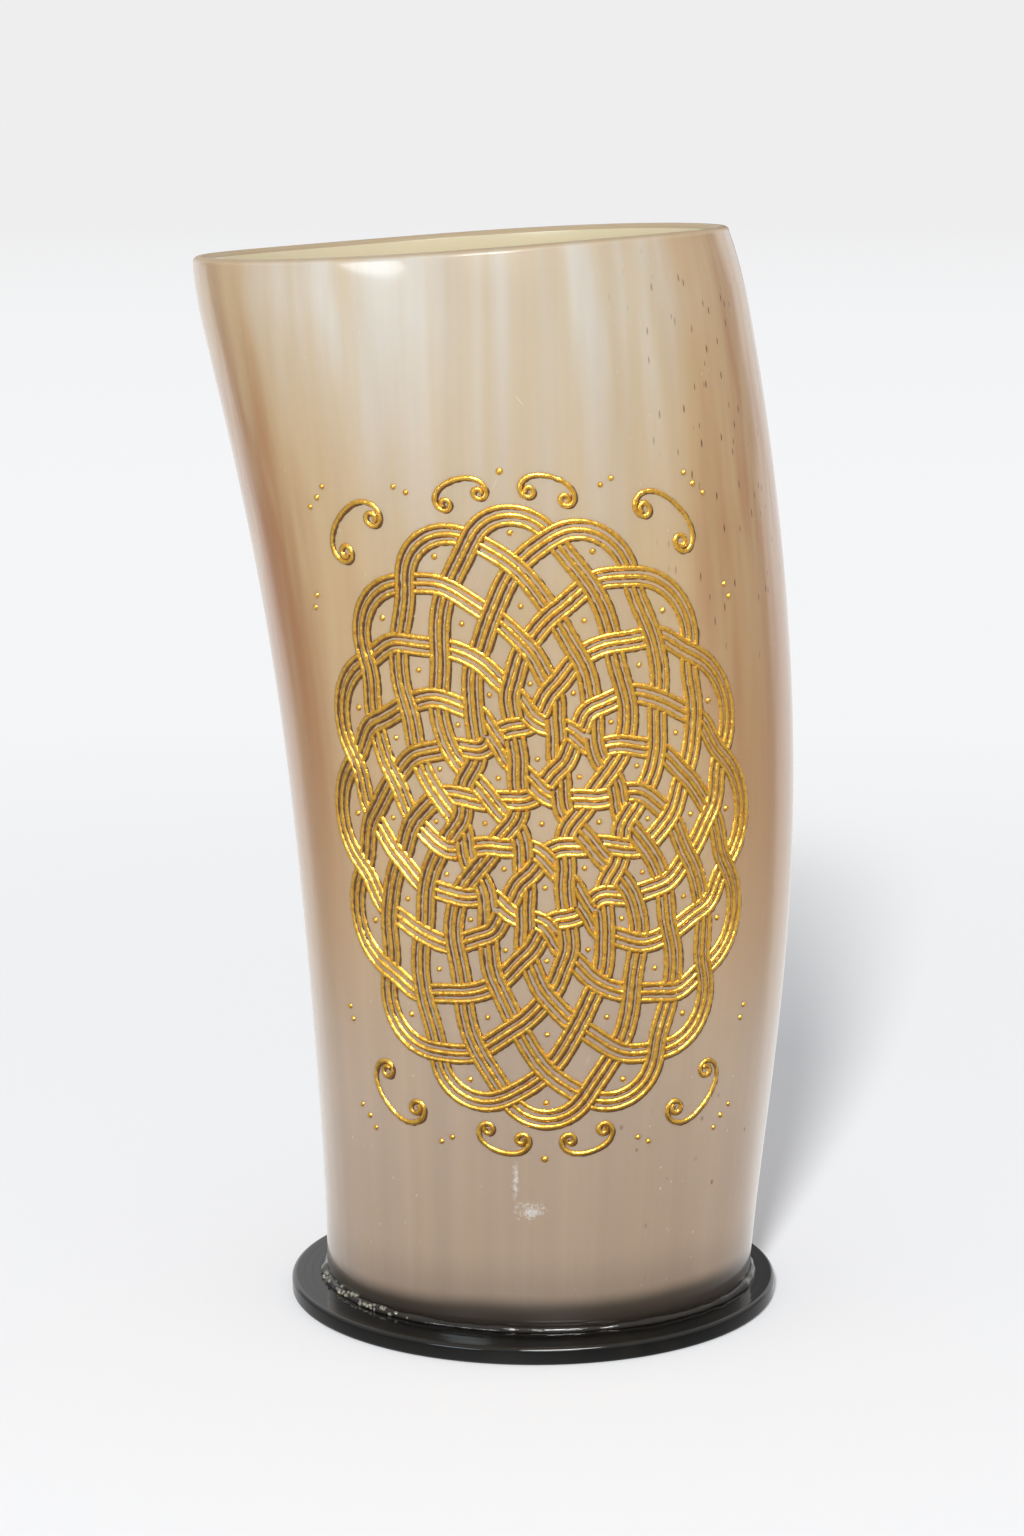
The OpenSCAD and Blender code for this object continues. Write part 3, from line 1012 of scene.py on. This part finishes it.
class HORNCUP_OT_gilding(bpy.types.Operator):
    """Make the gilt ornament: a plaited oval with scrolls and pellets round it."""

    bl_idname = "horncup.gilding"
    bl_label = "Gilt knotwork"

    def execute(self, context):
        cup = context.scene.horn_cup
        gilding = cup.gilding
        shape = HornShape(cup.horn)
        step = gilding.step
        net = ((8, 8.0 * MM, 9.2 * MM), (16, 15.2 * MM, 19.8 * MM),
               (16, 22.2 * MM, 30.6 * MM), (16, 29.4 * MM, 41.6 * MM))
        nodes, edges = oval_net(net)
        lines = ribbon_lines(plait(nodes, edges, step), gilding.ribbon, step)

        def placed(flat, sink):
            """Point on the horn of a flat point, sunk into the wall."""
            up = (gilding.middle - DISC_H + flat.imag) / cup.horn.height
            half_w = shape.ring(round(up, 4))[1]
            turn = FRONT + flat.real / half_w
            return shape.point(turn, up, shape.outside(up) + sink)

        def add_lines(name, paths, material, radius, sink, shift, seed):
            """Tubes along the paths, as one curve piece, a little uneven in width."""
            curve = bpy.data.curves.new(name, "CURVE")
            curve.dimensions = "3D"
            curve.bevel_depth = radius
            curve.bevel_resolution = 2
            curve.use_fill_caps = True
            for line in paths:
                spline = curve.splines.new("POLY")
                spline.points.add(len(line) - 1)
                for point, flat in zip(spline.points, line):
                    point.co = (*placed(flat + shift, sink), 1)
                    point.radius = 1 + 0.24 * noise.noise(
                        Vector((flat.real / (0.7 * MM), flat.imag / (0.7 * MM), seed)))
            curve.materials.append(material)
            piece = bpy.data.objects.new(name, curve)
            bpy.context.scene.collection.objects.link(piece)
            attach(piece, "root")

        gold = gilt(gilding)
        # The varnish also gives each gilt line a painted shadow
        size = size_and_shadow(gilding)
        # The varnish lies lower than the leaf and a little to the right of it and below it, so
        # that its dark edge is a painted shadow on that side of each line
        size_and_shadow_r, size_and_shadow_proud, size_and_shadow_shift = 0.43 * MM, 0.10 * MM, complex(0.24, -0.18) * MM
        for name, paths in (("plait", lines), ("scrolls", scroll_paths(step))):
            add_lines("gilt_" + name, paths, gold, gilding.line,
                      gilding.line - gilding.proud, 0j, 3.0)
            add_lines("size_under_" + name, paths, size, size_and_shadow_r, size_and_shadow_r - size_and_shadow_proud,
                      size_and_shadow_shift, 8.0)

        bm = bmesh.new()
        for flat, radius in pellet_places(nodes, len(nodes) - net[-1][0]):
            made = bmesh.ops.create_icosphere(bm, subdivisions=2, radius=radius * MM)["verts"]
            # The top of each pellet stands 0.3 mm above the horn
            bmesh.ops.translate(bm, verts=made, vec=placed(flat, (radius - 0.3) * MM))
        add_piece("gilt_pellets", bm, gold)
        return {"FINISHED"}


class HORNCUP_OT_stage(bpy.types.Operator):
    """Set the paper, the lights and the camera."""

    bl_idname = "horncup.stage"
    bl_label = "Stage"

    def execute(self, context):
        scene = context.scene
        stage = scene.horn_cup.stage
        scene.view_settings.view_transform = "Standard"
        scene.world = room_light(stage)
        bm = bmesh.new()
        bmesh.ops.create_circle(bm, cap_ends=True, segments=96, radius=12)
        mesh = bpy.data.meshes.new("paper")
        bm.to_mesh(mesh)
        bm.free()
        mesh.materials.append(studio_paper(stage))
        paper = bpy.data.objects.new("paper", mesh)
        scene.collection.objects.link(paper)

        white, cool = (1.0, 1.0, 1.0), (0.84, 0.94, 1.0)
        paper_itself = ("paper",)
        glossy = ("gilt_plait", "gilt_scrolls", "gilt_pellets", "black_foot_disc",
                  "outer_bead_of_glue")
        aim = Vector((0, 0, 0.08))
        # Each row gives a lamp's power and colour, its azimuth and height in degrees, its
        # distance and size in metres, and the things that it leaves out or lights alone
        for name, watts, tint, azimuth, height, far, size, state, things in (
                ("key", stage.key_power, cool, -36, 11, 2.2, (1.0, 0.42), "EXCLUDE", paper_itself),
                ("top", stage.top_power, white, 9, 28, 1.9, (0.9, 0.3), "EXCLUDE", paper_itself),
                ("glint", stage.glint_power, white, 16, 48, 1.9, (1.1, 0.3), "INCLUDE", glossy),
                ("paper", stage.paper_power, white, -7.8, 28, 4.0, (0.5, 0.5), "INCLUDE",
                 paper_itself)):
            lamp = bpy.data.lights.new(name, "AREA")
            lamp.shape = "ELLIPSE"
            lamp.size, lamp.size_y = size
            lamp.energy = watts
            lamp.color = tint
            azimuth, height = math.radians(azimuth), math.radians(height)
            way = Vector((math.sin(azimuth) * math.cos(height),
                          -math.cos(azimuth) * math.cos(height), math.sin(height)))
            light = bpy.data.objects.new(name, lamp)
            light.location = aim + far * way
            light.rotation_euler = way.to_track_quat("Z", "Y").to_euler()
            lit = bpy.data.collections.new("linked_to_" + name)
            for thing in things:
                lit.objects.link(bpy.data.objects[thing])
            for entry in lit.collection_objects:
                entry.light_linking.link_state = state
            light.light_linking.receiver_collection = lit
            light.visible_glossy = name != "paper"
            scene.collection.objects.link(light)

        camera = bpy.data.cameras.new("camera")
        camera.lens = stage.focal
        camera.sensor_width = 36
        camera.clip_start = 0.01
        viewer = bpy.data.objects.new("camera", camera)
        viewer.location = (0, -stage.camera_away, stage.camera_height)
        viewer.rotation_euler = (stage.camera_tilt, 0, stage.camera_turn)
        scene.collection.objects.link(viewer)
        scene.camera = viewer
        return {"FINISHED"}


class HORNCUP_PT_panel(bpy.types.Panel):
    """Lists the sizes, colours and makers of the cup."""

    bl_idname = "HORNCUP_PT_panel"
    bl_label = "Horn Drinking Cup"
    bl_space_type = "VIEW_3D"
    bl_region_type = "UI"
    bl_category = "Horn Cup"

    def draw(self, context):
        layout = self.layout
        cup = context.scene.horn_cup
        for group in (cup.horn, cup.gilding, cup.stage):
            box = layout.box()
            for key in group.__annotations__:
                box.prop(group, key)
        for operator in OPERATORS:
            layout.operator(operator.bl_idname)


OPERATORS = (HORNCUP_OT_horn, HORNCUP_OT_foot, HORNCUP_OT_glue, HORNCUP_OT_gilding,
             HORNCUP_OT_stage)
CLASSES = (HORNCUP_PG_horn, HORNCUP_PG_gilding, HORNCUP_PG_stage, HORNCUP_PG_cup,
           *OPERATORS, HORNCUP_PT_panel)


def register():
    for cls in CLASSES:
        bpy.utils.register_class(cls)
    bpy.types.Scene.horn_cup = bpy.props.PointerProperty(type=HORNCUP_PG_cup)


def unregister():
    del bpy.types.Scene.horn_cup
    for cls in reversed(CLASSES):
        bpy.utils.unregister_class(cls)


def main():
    """Makes every piece and the stage."""
    register()
    bpy.ops.horncup.horn()
    bpy.ops.horncup.foot()
    bpy.ops.horncup.glue()
    bpy.ops.horncup.gilding()
    bpy.ops.horncup.stage()


if __name__ == "__main__":
    main()
